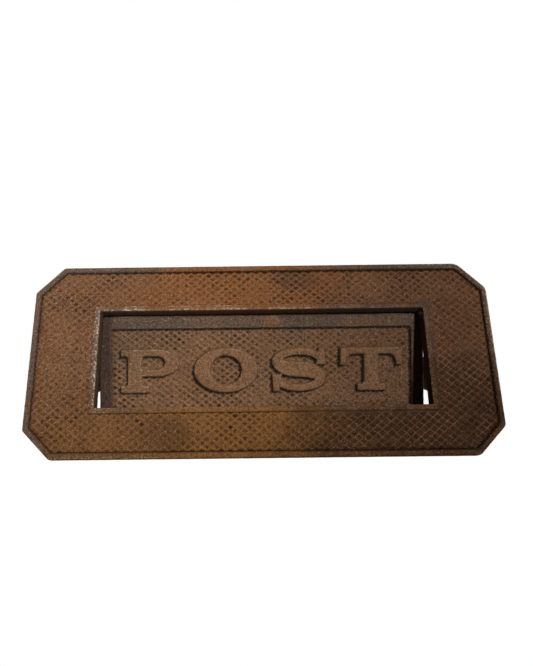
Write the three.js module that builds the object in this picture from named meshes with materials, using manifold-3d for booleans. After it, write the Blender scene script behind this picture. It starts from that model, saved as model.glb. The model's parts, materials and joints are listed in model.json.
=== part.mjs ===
// Cast-iron letter plate with an inward-opening flap that hangs from a hinge pin.
// Millimetres. X is to the right, Y points into the door and Z is up.
// The origin is the centre of the letter opening, in the plane that seats on the door.

import * as THREE from 'three';
import { mergeVertices } from 'three/addons/utils/BufferGeometryUtils.js';
import Module from 'manifold-3d';

const wasm = await Module();
wasm.setup();

// Front plate: an oblong casting with cut corners. A y value is a plane across the door.
const PLATE_WIDTH = 260;
const PLATE_HEIGHT = 110;
const CORNER_CUT = 15.5;
const SEAT_Y = 0;
const RIM_FRONT_Y = -6;
const FIELD_FRONT_Y = -4.6;
const POCKET_Y = -2;
const RIM_WIDTH = 3.9;
const EDGE_ROUND = 1.2;
const LAND_WIDTH = 8;

// Opening for the letters, with a raised bead in front and a reveal behind.
const OPENING_WIDTH = 184;
const OPENING_HEIGHT = 55.2;
const BEAD_WIDTH = 3.2;
const BEAD_ROUND = 0.8;
const REVEAL_BACK_Y = 2.5;
const REVEAL_WALL = 3;

// Running and seating gaps.
const GAP = 0.3;

// Hinge: one pin through two lugs of the plate and two knuckles of the flap.
const HINGE_Y = 5.8;
const HINGE_Z = 34.8;
const PIN_RADIUS = 2.5;
const BORE_RADIUS = PIN_RADIUS + GAP;
const LUG_RADIUS = 4.8;
const LUG_WIDTH = 6;
const LUG_INNER_X = 86.3;
const KNUCKLE_RADIUS = 4.5;
const KNUCKLE_WIDTH = 14.5;
const KNUCKLE_SETBACK = 0.4;
const SPACER_THICKNESS = 1.2;
const SPACER_RADIUS = 4.6;
const PIN_HEAD_RADIUS = 4.2;
const PIN_HEAD_THICKNESS = 3;
const PIN_TAIL = 7;
const PIN_CHAMFER = 0.6;
// Shares of the head's radius and thickness that its dome passes through.
const PIN_HEAD_DOME = [[0, 1], [0.55, 0.93], [0.87, 0.68], [1, 0.3]];
const SPLIT_PIN_SETBACK = 2.8;
const SPLIT_WIRE_RADIUS = 0.8;
const SPLIT_EYE_RADIUS = 1.9;

// Flap: measured in its closed position, from the hinge axis.
const FLAP_WIDTH = 191;
const FLAP_LENGTH = 61;
const FLAP_THICKNESS = 3.6;
const FLAP_DROP = 6.7;
const FLAP_FRONT = -3;
const FLAP_CORNER = 4;
const FLAP_EDGE_ROUND = 0.7;
const FLAP_BORDER = 7.2;
const FLAP_RECESS = 1.2;
const FIELD_CORNER = 1.5;
const FLAP_REST_ANGLE = THREE.MathUtils.degToRad(16.3);
const RIB_LENGTH = 24;
const LIP_WIDTH = 187;
const LIP_RISE = 1.25;
const LIP_SETBACK = 0.6;

// Raised word on the flap, in wide slab-serif capitals.
const CAP_HEIGHT = 25;
const LETTER_RISE = 2;
const LETTER_GAP = 9;
const LETTER_OFFSET = -1.5;
const STROKE = 8;
const SLAB = 3.6;
const SERIF = 4;
const BRACKET = 2.2;

// Fixings: two studs through the door, each with a washer and a square nut.
const DOOR_THICKNESS = 44;
const STUD_X = 111;
const STUD_RADIUS = 4;
const STUD_END_Y = 59;
const STUD_CHAMFER = 0.8;
const BOSS_RADIUS = 6.5;
const BOSS_BACK_Y = 9;
const WASHER_RADIUS = 12;
const WASHER_THICKNESS = 2;
const NUT_ACROSS_FLATS = 13.5;
const NUT_THICKNESS = 6.5;
const NUT_CORNER_LAND = 0.3;

const ROUND_STEPS = 40;
const CURVE_STEPS = 16;
const OVERCUT = 1;

const CAST_IRON = { color: 0x70513b, roughness: 0.82, metalness: 0.35 };
const FLAP_IRON = { color: 0x75573f, roughness: 0.8, metalness: 0.35 };
const PIN_STEEL = { color: 0x4c4037, roughness: 0.62, metalness: 0.7 };
const WASHER_STEEL = { color: 0x5b4a3d, roughness: 0.7, metalness: 0.6 };
const STUD_STEEL = { color: 0x665a4e, roughness: 0.55, metalness: 0.75 };
const NUT_STEEL = { color: 0x5a4c40, roughness: 0.6, metalness: 0.7 };

const RIGHT = new THREE.Vector3(1, 0, 0);
const INWARD = new THREE.Vector3(0, 1, 0);
const UP = new THREE.Vector3(0, 0, 1);

// --- solids -----------------------------------------------------------------------------------

function solidFrom(geometry) {
  const bare = geometry.clone();
  bare.deleteAttribute('normal');
  bare.deleteAttribute('uv');
  const merged = mergeVertices(bare, 1e-5);
  return new wasm.Manifold(new wasm.Mesh({
    numProp: 3,
    vertProperties: new Float32Array(merged.attributes.position.array),
    triVerts: new Uint32Array(merged.index.array),
  }));
}

function meshFrom(name, solid, finish) {
  const { vertProperties, triVerts } = solid.getMesh();
  const geometry = new THREE.BufferGeometry();
  geometry.setAttribute('position', new THREE.BufferAttribute(vertProperties, 3));
  geometry.setIndex(new THREE.BufferAttribute(triVerts, 1));
  geometry.computeVertexNormals();
  const mesh = new THREE.Mesh(geometry, new THREE.MeshStandardMaterial(finish));
  mesh.name = name;
  return mesh;
}

// A slab whose outline is drawn in X and Z, reaching from backY forwards to frontY.
function slab(shape, backY, frontY, round = 0) {
  const geometry = new THREE.ExtrudeGeometry(shape, {
    depth: backY - frontY - 2 * round,
    curveSegments: CURVE_STEPS,
    bevelEnabled: round > 0,
    bevelThickness: round,
    bevelSize: round,
    bevelOffset: -round,
    bevelSegments: 3,
  });
  geometry.translate(0, 0, round);
  geometry.rotateX(Math.PI / 2);
  geometry.translate(0, backY, 0);
  return solidFrom(geometry);
}

// A profile drawn in Y and Z, reaching from x = left over the given width.
function profileAlongX(shape, left, width) {
  const geometry = new THREE.ExtrudeGeometry(shape, {
    depth: width,
    curveSegments: CURVE_STEPS,
    bevelEnabled: false,
  });
  geometry.applyMatrix4(new THREE.Matrix4().makeBasis(INWARD, UP, RIGHT));
  geometry.translate(left, 0, 0);
  return solidFrom(geometry);
}

// A turned piece, from [radius, distance along the Y axis] corners.
function turned(corners) {
  const profile = corners.map(([radius, along]) => new THREE.Vector2(radius, along));
  return new THREE.LatheGeometry(profile, ROUND_STEPS);
}

function turnedAlongX(corners, x, y, z) {
  const geometry = turned(corners);
  geometry.rotateZ(-Math.PI / 2);
  geometry.translate(x, y, z);
  return solidFrom(geometry);
}

function turnedAlongY(corners, x, z) {
  const geometry = turned(corners);
  geometry.translate(x, 0, z);
  return solidFrom(geometry);
}

function rodCorners(radius, start, end) {
  return [[0, start], [radius, start], [radius, end], [0, end]];
}

function ringCorners(inner, outer, start, end) {
  return [[inner, start], [outer, start], [outer, end], [inner, end], [inner, start]];
}

// --- outlines ---------------------------------------------------------------------------------

// The plate's outline drawn in by inset on every side, 45-degree corners included.
function cutCornerOutline(inset) {
  const x = PLATE_WIDTH / 2 - inset;
  const z = PLATE_HEIGHT / 2 - inset;
  const cut = CORNER_CUT - inset * (2 - Math.SQRT2);
  return new THREE.Shape([
    new THREE.Vector2(-x + cut, -z),
    new THREE.Vector2(x - cut, -z),
    new THREE.Vector2(x, -z + cut),
    new THREE.Vector2(x, z - cut),
    new THREE.Vector2(x - cut, z),
    new THREE.Vector2(-x + cut, z),
    new THREE.Vector2(-x, z - cut),
    new THREE.Vector2(-x, -z + cut),
  ]);
}

function rectangle(width, height) {
  const x = width / 2;
  const z = height / 2;
  return new THREE.Shape([
    new THREE.Vector2(-x, -z),
    new THREE.Vector2(x, -z),
    new THREE.Vector2(x, z),
    new THREE.Vector2(-x, z),
  ]);
}

function roundedRectangle(width, height, radius) {
  const x = width / 2 - radius;
  const z = height / 2 - radius;
  const shape = new THREE.Shape();
  shape.absarc(x, z, radius, 0, Math.PI / 2);
  shape.absarc(-x, z, radius, Math.PI / 2, Math.PI);
  shape.absarc(-x, -z, radius, Math.PI, 1.5 * Math.PI);
  shape.absarc(x, -z, radius, 1.5 * Math.PI, 2 * Math.PI);
  return shape;
}

// --- front plate ------------------------------------------------------------------------------

// An ear round the hinge pin with a straight web down to the plate.
function lug(left) {
  const web = new THREE.Shape();
  web.moveTo(POCKET_Y - OVERCUT, HINGE_Z - LUG_RADIUS);
  web.lineTo(HINGE_Y, HINGE_Z - LUG_RADIUS);
  web.absarc(HINGE_Y, HINGE_Z, LUG_RADIUS, -Math.PI / 2, Math.PI / 2);
  web.lineTo(POCKET_Y - OVERCUT, HINGE_Z + LUG_RADIUS);
  return profileAlongX(web, left, LUG_WIDTH);
}

function makeFrontPlate() {
  const behindRim = RIM_FRONT_Y + 2 * EDGE_ROUND + OVERCUT;
  let plate = slab(cutCornerOutline(0), SEAT_Y, behindRim);
  plate = plate.add(slab(cutCornerOutline(0), behindRim + EDGE_ROUND, RIM_FRONT_Y, EDGE_ROUND));

  const beadWidth = OPENING_WIDTH + 2 * BEAD_WIDTH;
  const beadHeight = OPENING_HEIGHT + 2 * BEAD_WIDTH;
  const field = slab(cutCornerOutline(RIM_WIDTH), FIELD_FRONT_Y, RIM_FRONT_Y - OVERCUT);
  plate = plate.subtract(field);
  plate = plate.add(slab(rectangle(beadWidth, beadHeight), POCKET_Y - OVERCUT, RIM_FRONT_Y, BEAD_ROUND));

  plate = plate.subtract(slab(cutCornerOutline(LAND_WIDTH), SEAT_Y + OVERCUT, POCKET_Y));
  const revealWidth = OPENING_WIDTH + 2 * REVEAL_WALL;
  const revealHeight = OPENING_HEIGHT + 2 * REVEAL_WALL;
  plate = plate.add(slab(rectangle(revealWidth, revealHeight), REVEAL_BACK_Y, POCKET_Y - OVERCUT));
  plate = plate.subtract(slab(
    rectangle(OPENING_WIDTH, OPENING_HEIGHT),
    REVEAL_BACK_Y + OVERCUT,
    RIM_FRONT_Y - OVERCUT,
  ));

  for (const x of [-STUD_X, STUD_X]) {
    plate = plate.add(turnedAlongY(rodCorners(BOSS_RADIUS, POCKET_Y - OVERCUT, BOSS_BACK_Y), x, 0));
    const tapping = rodCorners(STUD_RADIUS + GAP, POCKET_Y, BOSS_BACK_Y + OVERCUT);
    plate = plate.subtract(turnedAlongY(tapping, x, 0));
  }

  for (const left of [-LUG_INNER_X - LUG_WIDTH, LUG_INNER_X]) {
    plate = plate.add(lug(left));
  }
  const boreEnd = LUG_INNER_X + LUG_WIDTH + OVERCUT;
  plate = plate.subtract(turnedAlongX(rodCorners(BORE_RADIUS, -boreEnd, boreEnd), 0, HINGE_Y, HINGE_Z));
  return meshFrom('front_plate', plate, CAST_IRON);
}

// --- letters: drawn rightwards from u = 0, with the baseline at v = 0 ---------------------------

// An upright stroke with slab serifs that curve into it, at its foot and, if headed, its head.
function upright(left, headed) {
  const right = left + STROKE;
  const headV = CAP_HEIGHT - SLAB;
  const shape = new THREE.Shape();
  shape.moveTo(left - SERIF, 0);
  shape.lineTo(right + SERIF, 0);
  shape.lineTo(right + SERIF, SLAB);
  shape.lineTo(right + BRACKET, SLAB);
  shape.quadraticCurveTo(right, SLAB, right, SLAB + BRACKET);
  if (headed) {
    shape.lineTo(right, headV - BRACKET);
    shape.quadraticCurveTo(right, headV, right + BRACKET, headV);
    shape.lineTo(right + SERIF, headV);
    shape.lineTo(right + SERIF, CAP_HEIGHT);
    shape.lineTo(left - SERIF, CAP_HEIGHT);
    shape.lineTo(left - SERIF, headV);
    shape.lineTo(left - BRACKET, headV);
    shape.quadraticCurveTo(left, headV, left, headV - BRACKET);
  } else {
    shape.lineTo(right, CAP_HEIGHT);
    shape.lineTo(left, CAP_HEIGHT);
  }
  shape.lineTo(left, SLAB + BRACKET);
  shape.quadraticCurveTo(left, SLAB, left - BRACKET, SLAB);
  shape.lineTo(left - SERIF, SLAB);
  return shape;
}

function letterP() {
  const width = 34;
  const bowlFoot = 9.5;
  const middle = (CAP_HEIGHT + bowlFoot) / 2;
  const rise = (CAP_HEIGHT - bowlFoot) / 2;
  const straight = 21;
  const reach = width - straight;
  const bowl = new THREE.Shape();
  bowl.moveTo(SERIF + STROKE / 2, bowlFoot);
  bowl.lineTo(straight, bowlFoot);
  bowl.absellipse(straight, middle, reach, rise, -Math.PI / 2, Math.PI / 2);
  bowl.lineTo(SERIF + STROKE / 2, CAP_HEIGHT);
  const counter = new THREE.Path();
  counter.moveTo(SERIF + STROKE, bowlFoot + SLAB);
  counter.lineTo(straight, bowlFoot + SLAB);
  counter.absellipse(straight, middle, reach - STROKE, rise - SLAB, -Math.PI / 2, Math.PI / 2);
  counter.lineTo(SERIF + STROKE, CAP_HEIGHT - SLAB);
  bowl.holes.push(counter);
  return { width, shapes: [upright(SERIF, true), bowl] };
}

function letterO() {
  const width = 37;
  const overshoot = 0.4;
  const sideStroke = STROKE + 1;
  const u = width / 2;
  const v = CAP_HEIGHT / 2;
  const ring = new THREE.Shape();
  ring.absellipse(u, v, u, v + overshoot, 0, 2 * Math.PI);
  const counter = new THREE.Path();
  counter.absellipse(u, v, u - sideStroke, v - SLAB, 0, 2 * Math.PI);
  ring.holes.push(counter);
  return { width, shapes: [ring] };
}

// The spine runs from the upper right terminal to the lower left one and is thickest halfway.
function letterS() {
  const width = 31;
  const bowlReach = (width - 2 * SLAB + 1.6) / 2;
  const turn = CAP_HEIGHT / 4 - SLAB / 4;
  const sweep = 1.43 * Math.PI;
  const swell = (STROKE - SLAB + 0.6) / 2;
  const swellSharpness = 6;
  const steps = 44;
  const edges = [[], []];
  for (let i = 0; i <= steps; i += 1) {
    const t = (2 * i) / steps - 1;
    const angle = t * sweep;
    const side = Math.sign(t);
    const u = width / 2 + bowlReach * Math.sin(angle);
    const v = CAP_HEIGHT / 2 - side * turn * (1 - Math.cos(angle));
    const du = bowlReach * Math.cos(angle);
    const dv = -side * turn * Math.sin(angle);
    const length = Math.hypot(du, dv);
    const half = SLAB / 2 + swell * Math.cos((t * Math.PI) / 2) ** swellSharpness;
    edges[0].push(new THREE.Vector2(u - (dv / length) * half, v + (du / length) * half));
    edges[1].push(new THREE.Vector2(u + (dv / length) * half, v - (du / length) * half));
  }
  const spine = new THREE.Shape([...edges[0], ...edges[1].reverse()]);
  const terminal = 9.5;
  const flare = 1.4;
  const slant = 0.6;
  const upper = new THREE.Shape([
    new THREE.Vector2(width - SLAB - flare, CAP_HEIGHT - terminal),
    new THREE.Vector2(width, CAP_HEIGHT - terminal),
    new THREE.Vector2(width - slant, CAP_HEIGHT),
    new THREE.Vector2(width - SLAB, CAP_HEIGHT),
  ]);
  const lower = new THREE.Shape([
    new THREE.Vector2(0, terminal),
    new THREE.Vector2(slant, 0),
    new THREE.Vector2(SLAB, 0),
    new THREE.Vector2(SLAB + flare, terminal),
  ]);
  return { width, shapes: [spine, upper, lower] };
}

function letterT() {
  const width = 36;
  const drop = 10;
  const taper = 0.8;
  const under = CAP_HEIGHT - SLAB;
  const bar = new THREE.Shape();
  bar.moveTo(0, CAP_HEIGHT);
  bar.lineTo(0, CAP_HEIGHT - drop);
  bar.lineTo(SLAB - taper, CAP_HEIGHT - drop);
  bar.quadraticCurveTo(SLAB, under, SLAB + 2 * BRACKET, under);
  bar.lineTo(width - SLAB - 2 * BRACKET, under);
  bar.quadraticCurveTo(width - SLAB, under, width - SLAB + taper, CAP_HEIGHT - drop);
  bar.lineTo(width, CAP_HEIGHT - drop);
  bar.lineTo(width, CAP_HEIGHT);
  return { width, shapes: [upright((width - STROKE) / 2, false), bar] };
}

// The word, centred on u = 0 and standing on v = 0, from backY forwards to frontY.
function raisedWord(backY, frontY) {
  const letters = [letterP(), letterO(), letterS(), letterT()];
  const lettersWidth = letters.reduce((sum, letter) => sum + letter.width, 0);
  const wordWidth = lettersWidth + LETTER_GAP * (letters.length - 1);
  const parts = [];
  let left = -wordWidth / 2;
  for (const letter of letters) {
    for (const shape of letter.shapes) {
      parts.push(slab(shape, backY, frontY).translate([left, 0, 0]));
    }
    left += letter.width + LETTER_GAP;
  }
  return parts;
}

// --- flap -------------------------------------------------------------------------------------

// A knuckle round the hinge axis with a rib that runs down the back of the flap.
function knuckle(left) {
  const front = FLAP_FRONT + KNUCKLE_SETBACK;
  const back = FLAP_FRONT + FLAP_THICKNESS;
  const shape = new THREE.Shape();
  shape.moveTo(front, -FLAP_DROP - OVERCUT);
  shape.absarc(0, 0, KNUCKLE_RADIUS, Math.PI + Math.acos(-front / KNUCKLE_RADIUS), 0, true);
  shape.lineTo(back, -FLAP_DROP - RIB_LENGTH);
  shape.lineTo(back - OVERCUT, -FLAP_DROP - RIB_LENGTH);
  shape.lineTo(back - OVERCUT, -FLAP_DROP - OVERCUT);
  return profileAlongX(shape, left, KNUCKLE_WIDTH);
}

// A rib along the top edge that covers the gap between the flap and the hinge.
function lip() {
  const front = FLAP_FRONT + LIP_SETBACK;
  const back = FLAP_FRONT + FLAP_THICKNESS;
  const top = -FLAP_DROP + LIP_RISE;
  const shape = new THREE.Shape();
  shape.moveTo(front, -FLAP_DROP - OVERCUT);
  shape.lineTo(back, -FLAP_DROP - OVERCUT);
  shape.lineTo(back, top);
  shape.lineTo(front + FLAP_EDGE_ROUND, top);
  shape.lineTo(front, top - FLAP_EDGE_ROUND);
  return profileAlongX(shape, -LIP_WIDTH / 2, LIP_WIDTH);
}

function makeFlap() {
  const middle = -FLAP_DROP - FLAP_LENGTH / 2;
  const back = FLAP_FRONT + FLAP_THICKNESS;
  const floor = FLAP_FRONT + FLAP_RECESS;
  const outline = roundedRectangle(FLAP_WIDTH, FLAP_LENGTH, FLAP_CORNER);
  const fieldWidth = FLAP_WIDTH - 2 * FLAP_BORDER;
  const fieldLength = FLAP_LENGTH - 2 * FLAP_BORDER;
  const recess = roundedRectangle(fieldWidth, fieldLength, FIELD_CORNER);
  let flap = slab(outline, back, FLAP_FRONT, FLAP_EDGE_ROUND);
  flap = flap.subtract(slab(recess, floor, FLAP_FRONT - OVERCUT));
  const baseline = LETTER_OFFSET - CAP_HEIGHT / 2;
  for (const part of raisedWord(floor + OVERCUT, floor - LETTER_RISE)) {
    flap = flap.add(part.translate([0, 0, baseline]));
  }
  flap = flap.translate([0, 0, middle]).add(lip());

  const outerFace = LUG_INNER_X - 2 * GAP - SPACER_THICKNESS;
  for (const left of [-outerFace, outerFace - KNUCKLE_WIDTH]) {
    flap = flap.add(knuckle(left));
  }
  const boreEnd = outerFace + OVERCUT;
  flap = flap.subtract(turnedAlongX(rodCorners(BORE_RADIUS, -boreEnd, boreEnd), 0, 0, 0));
  return meshFrom('flap', flap, FLAP_IRON);
}

// --- hinge hardware: placed from the hinge axis --------------------------------------------------

const LUG_OUTER_X = LUG_INNER_X + LUG_WIDTH;
const RETAINER_X = LUG_OUTER_X + GAP;
const PIN_END_X = LUG_OUTER_X + PIN_TAIL;
const SPLIT_PIN_X = PIN_END_X - SPLIT_PIN_SETBACK;

function makeHingePin() {
  const headX = -LUG_OUTER_X - GAP;
  const dome = PIN_HEAD_DOME.map(([radiusShare, depthShare]) => [
    PIN_HEAD_RADIUS * radiusShare,
    headX - PIN_HEAD_THICKNESS * depthShare,
  ]);
  const corners = [
    ...dome,
    [PIN_HEAD_RADIUS, headX],
    [PIN_RADIUS, headX],
    [PIN_RADIUS, PIN_END_X - PIN_CHAMFER],
    [PIN_RADIUS - PIN_CHAMFER, PIN_END_X],
    [0, PIN_END_X],
  ];
  const crossHole = new THREE.CylinderGeometry(
    SPLIT_WIRE_RADIUS + GAP,
    SPLIT_WIRE_RADIUS + GAP,
    2 * PIN_RADIUS + 2 * OVERCUT,
    16,
  );
  crossHole.rotateX(Math.PI / 2);
  crossHole.translate(SPLIT_PIN_X, 0, 0);
  const pin = turnedAlongX(corners, 0, 0, 0).subtract(solidFrom(crossHole));
  return meshFrom('hinge_pin', pin, PIN_STEEL);
}

function makeHingeWasher(name, x) {
  const corners = ringCorners(BORE_RADIUS, SPACER_RADIUS, x, x + SPACER_THICKNESS);
  return meshFrom(name, turnedAlongX(corners, 0, 0, 0), WASHER_STEEL);
}

// A round wire: a bent foot, a leg through the pin and an eye above it.
function makeSplitPin() {
  const eyeZ = PIN_RADIUS + GAP + SPLIT_EYE_RADIUS + SPLIT_WIRE_RADIUS;
  const points = [
    new THREE.Vector3(0, 3.6, -PIN_RADIUS - 2.4),
    new THREE.Vector3(0, 1.9, -PIN_RADIUS - 1.9),
    new THREE.Vector3(0, 0.3, -PIN_RADIUS - 0.9),
    new THREE.Vector3(0, 0, -PIN_RADIUS + 0.6),
    new THREE.Vector3(0, 0, PIN_RADIUS - 0.6),
  ];
  for (let degrees = 245; degrees >= -30; degrees -= 25) {
    const angle = THREE.MathUtils.degToRad(degrees);
    const y = SPLIT_EYE_RADIUS * Math.cos(angle);
    points.push(new THREE.Vector3(0, y, eyeZ + SPLIT_EYE_RADIUS * Math.sin(angle)));
  }
  const section = new THREE.Shape();
  section.absarc(0, 0, SPLIT_WIRE_RADIUS, 0, 2 * Math.PI);
  const wire = new THREE.ExtrudeGeometry(section, {
    steps: 48,
    curveSegments: 5,
    extrudePath: new THREE.CatmullRomCurve3(points),
  });
  wire.translate(SPLIT_PIN_X, 0, 0);
  return meshFrom('split_pin', solidFrom(wire), WASHER_STEEL);
}

// --- fixings ----------------------------------------------------------------------------------

function makeStud(name, x) {
  const corners = [
    [0, POCKET_Y + GAP],
    [STUD_RADIUS - STUD_CHAMFER, POCKET_Y + GAP],
    [STUD_RADIUS, POCKET_Y + GAP + STUD_CHAMFER],
    [STUD_RADIUS, STUD_END_Y - STUD_CHAMFER],
    [STUD_RADIUS - STUD_CHAMFER, STUD_END_Y],
    [0, STUD_END_Y],
  ];
  return meshFrom(name, turnedAlongY(corners, x, 0), STUD_STEEL);
}

function makeFixingWasher(name, x) {
  const corners = ringCorners(
    STUD_RADIUS + GAP,
    WASHER_RADIUS,
    DOOR_THICKNESS,
    DOOR_THICKNESS + WASHER_THICKNESS,
  );
  return meshFrom(name, turnedAlongY(corners, x, 0), WASHER_STEEL);
}

function makeSquareNut(name, x) {
  const front = DOOR_THICKNESS + WASHER_THICKNESS + GAP;
  const block = slab(rectangle(NUT_ACROSS_FLATS, NUT_ACROSS_FLATS), front + NUT_THICKNESS, front);
  const rounding = turnedAlongY([
    [0, front - OVERCUT],
    [NUT_ACROSS_FLATS, front - OVERCUT],
    [NUT_ACROSS_FLATS, front],
    [NUT_ACROSS_FLATS / 2 + NUT_CORNER_LAND, front + NUT_THICKNESS],
    [0, front + NUT_THICKNESS],
  ], 0, 0);
  const hole = rodCorners(STUD_RADIUS + GAP, front - OVERCUT, front + NUT_THICKNESS + OVERCUT);
  const nut = block.intersect(rounding).subtract(turnedAlongY(hole, 0, 0));
  return meshFrom(name, nut.translate([x, 0, 0]), NUT_STEEL);
}

// --- assembly ---------------------------------------------------------------------------------

const hinge = new THREE.Group();
hinge.position.set(0, HINGE_Y, HINGE_Z);
hinge.add(makeHingePin());
hinge.add(makeHingeWasher('hinge_washer_left', -LUG_INNER_X + GAP));
hinge.add(makeHingeWasher('hinge_washer_right', LUG_INNER_X - GAP - SPACER_THICKNESS));
hinge.add(makeHingeWasher('hinge_washer_end', RETAINER_X));
hinge.add(makeSplitPin());

const flap = makeFlap();
flap.rotation.x = FLAP_REST_ANGLE;
hinge.add(flap);

const letterPlate = new THREE.Group();
letterPlate.add(makeFrontPlate());
letterPlate.add(hinge);
for (const [side, x] of [['left', -STUD_X], ['right', STUD_X]]) {
  letterPlate.add(makeStud(`fixing_stud_${side}`, x));
  letterPlate.add(makeFixingWasher(`fixing_washer_${side}`, x));
  letterPlate.add(makeSquareNut(`fixing_nut_${side}`, x));
}

export default letterPlate;
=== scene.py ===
"""Cast-iron letter plate: fine castings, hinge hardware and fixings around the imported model."""

import json
import math

import bmesh
import bpy
import numpy as np
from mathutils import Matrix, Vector


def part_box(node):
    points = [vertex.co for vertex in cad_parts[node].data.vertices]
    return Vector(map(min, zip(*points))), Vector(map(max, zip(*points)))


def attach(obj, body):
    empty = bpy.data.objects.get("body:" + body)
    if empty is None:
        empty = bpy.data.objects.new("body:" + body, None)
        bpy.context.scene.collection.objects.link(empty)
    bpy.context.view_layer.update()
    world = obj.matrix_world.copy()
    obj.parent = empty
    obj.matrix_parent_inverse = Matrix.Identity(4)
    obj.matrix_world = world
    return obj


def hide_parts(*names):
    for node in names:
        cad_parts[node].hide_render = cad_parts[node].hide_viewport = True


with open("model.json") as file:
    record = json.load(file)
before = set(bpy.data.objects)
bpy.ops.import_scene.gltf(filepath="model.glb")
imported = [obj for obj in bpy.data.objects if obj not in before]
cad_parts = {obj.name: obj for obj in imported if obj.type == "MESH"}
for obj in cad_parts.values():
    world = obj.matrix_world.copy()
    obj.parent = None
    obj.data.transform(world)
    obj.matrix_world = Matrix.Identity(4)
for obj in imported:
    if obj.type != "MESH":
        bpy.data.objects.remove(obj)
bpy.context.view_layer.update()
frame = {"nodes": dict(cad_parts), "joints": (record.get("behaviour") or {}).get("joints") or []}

SCENE = bpy.context.scene
MM = 0.001

# Front plate, in millimetres, as in the design.
PLATE_X = 130.0
PLATE_Z = 55.0
CORNER_CUT = 15.5
RIM_WIDTH = 3.9
OPENING_X = 92.0
OPENING_Z = 27.6
BEAD_WIDTH = 3.2
CREST_Y = -4.95
FLOOR_Y = -2.0
REVEAL_Y = 2.5
LAND_WIDTH = 8.0
BOSS_X = 111.0
LUG_RADIUS = 4.8
LUG_FLARE = 1.9
LUG_LENGTH = 6
LUG_LEFTS = (-92.3, 86.3)

# How far the field runs in under the rim and under the bead.
RIM_TUCK = 2.0
BEAD_TUCK = 1.6

# Lattice of the castings: one diamond is this wide and high. Distances are from a ridge's middle.
PLATE_DIAMOND = (5.08, 4.07)
FLAP_DIAMOND = (5.1, 3.75)
LATTICE_DEPTH = 0.75
RIDGE_TOP = 0.05
RIDGE_FOOT = 0.95
FALLING_HEIGHT = 0.92
CROSSING_RISE = 0.12
PLATE_SEED = 11
FLAP_SEED = 41

# The castings' fine grid: each coarse cell is split this many times both ways.
FINE = 6
FLAP_CELLS = (66, 22)

# Flap, closed, from the hinge axis.
FLAP_X = 95.5
FLAP_TOP = -6.7
FLAP_HALF = 30.5
FLAP_MIDDLE = FLAP_TOP - FLAP_HALF
FLAP_FRONT = -3.0
FLAP_BACK = 0.6
FLAP_CORNER = 4.0
FLAP_BORDER = 7.2
FLAP_RECESS = 1.35
LIP_X = 93.5
LETTER_TOP = -4.1
CAD_LETTER_TOP = -3.8
KNUCKLE_RADIUS = 4.5
KNUCKLE_LENGTH = 14.5
KNUCKLE_LEFTS = (-84.5, 70.0)
RIB_LENGTH = 24.0

HINGE = frame["joints"][0]
HINGE_Y = HINGE["pos_m"][1] / MM
HINGE_Z = HINGE["pos_m"][2] / MM
HINGE_POINT = np.array([0, HINGE_Y, HINGE_Z])
REST_ANGLE = math.radians(-HINGE["range_deg"][0])
PIN_RADIUS = 2.5
BORE_RADIUS = 2.8

# Washers, split pin, studs and nuts.
HINGE_WASHER_RADIUS = 4.55
DOOR_WASHER_RADII = (4.4, 11.95)
EYE_RADIUS = 1.55
WIRE_RADIUS = 0.72
WIRE_FLAT = 0.36
STUD_RADIUS = 3.98
STUD_CHAMFER = 0.9
STUD_STEPS = 40
THREAD_PITCH = 1.25
THREAD_DEPTH = 0.68
ROWS_PER_TURN = 9
NUT_THREAD = 27
BOSS_THREAD = 14
NUT_HALF = 6.7
NUT_CORNER_SHARE = 1.36
NUT_CONE = math.radians(32)
NUT_STEPS = 96
NUT_HOLE = 4.35
NUT_COUNTERSINK = 4.9

# Repeatable random values.
HASH_PRIMES = (73856093, 19349663, 83492791)
HASH_MIXERS = (1274126177, 668265263)
POSITIVE = 0x7FFFFFFF

# Roughness goes mostly inwards, so that a piece stays in the space of its solid.
ROUGH_INWARDS = 0.8
SIDE_RELIEF = 0.55


# --- arrays, noise and meshes ---

def hash_values(cells, seed):
    """A repeatable value from -1 to 1 for each cell, which is three whole numbers."""
    first, second, third = HASH_PRIMES
    mixed = (cells[..., 0] * first) ^ (cells[..., 1] * second) ^ (cells[..., 2] * third)
    mixed = (mixed ^ (seed * third)) & POSITIVE
    mixed = ((mixed ^ (mixed >> 13)) * HASH_MIXERS[0]) & POSITIVE
    mixed = ((mixed ^ (mixed >> 11)) * HASH_MIXERS[1]) & POSITIVE
    return (mixed >> 8) / float(1 << 23) * 2 - 1


def smooth_noise(points, cell, seed):
    """A smooth random value from -1 to 1 for each point, with features about one cell across."""
    scaled = points / cell + 1000.0
    base = np.floor(scaled).astype(np.int64)
    part = scaled - base
    part = part * part * (3 - 2 * part)
    total = np.zeros(len(points))
    for corner in np.ndindex(2, 2, 2):
        step = np.array(corner)
        weight = np.prod(np.where(step == 1, part, 1 - part), axis=1)
        total += weight * hash_values(base + step, seed)
    return total


def smooth_step(low, high, value):
    """0 at low and 1 at high, smooth between them. Either may be the smaller."""
    share = np.clip((value - low) / (high - low), 0, 1)
    return share * share * (3 - 2 * share)


def near(distance, place, width):
    """1 at a place, falling off smoothly on both sides of it."""
    return np.exp(-((distance - place) / width) ** 2)


def on_plane(x, z):
    return np.stack([x, np.zeros_like(x), z], 1)


def ring_faces(rings, count, closed_rings):
    """Quads between successive loops of count points, joined end to end if closed_rings."""
    column = np.arange(count)
    after = (column + 1) % count
    faces = []
    for ring in range(rings if closed_rings else rings - 1):
        here = ring * count
        there = ((ring + 1) % rings) * count
        faces.append(np.stack([here + column, here + after, there + after, there + column], 1))
    return np.concatenate(faces)


def tube_faces(rings, count):
    """Quads along an open tube of loops, and one face over each end."""
    total = rings * count
    faces = ring_faces(rings, count, False).tolist()
    return faces + [list(range(count)), list(range(total - count, total))]


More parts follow.
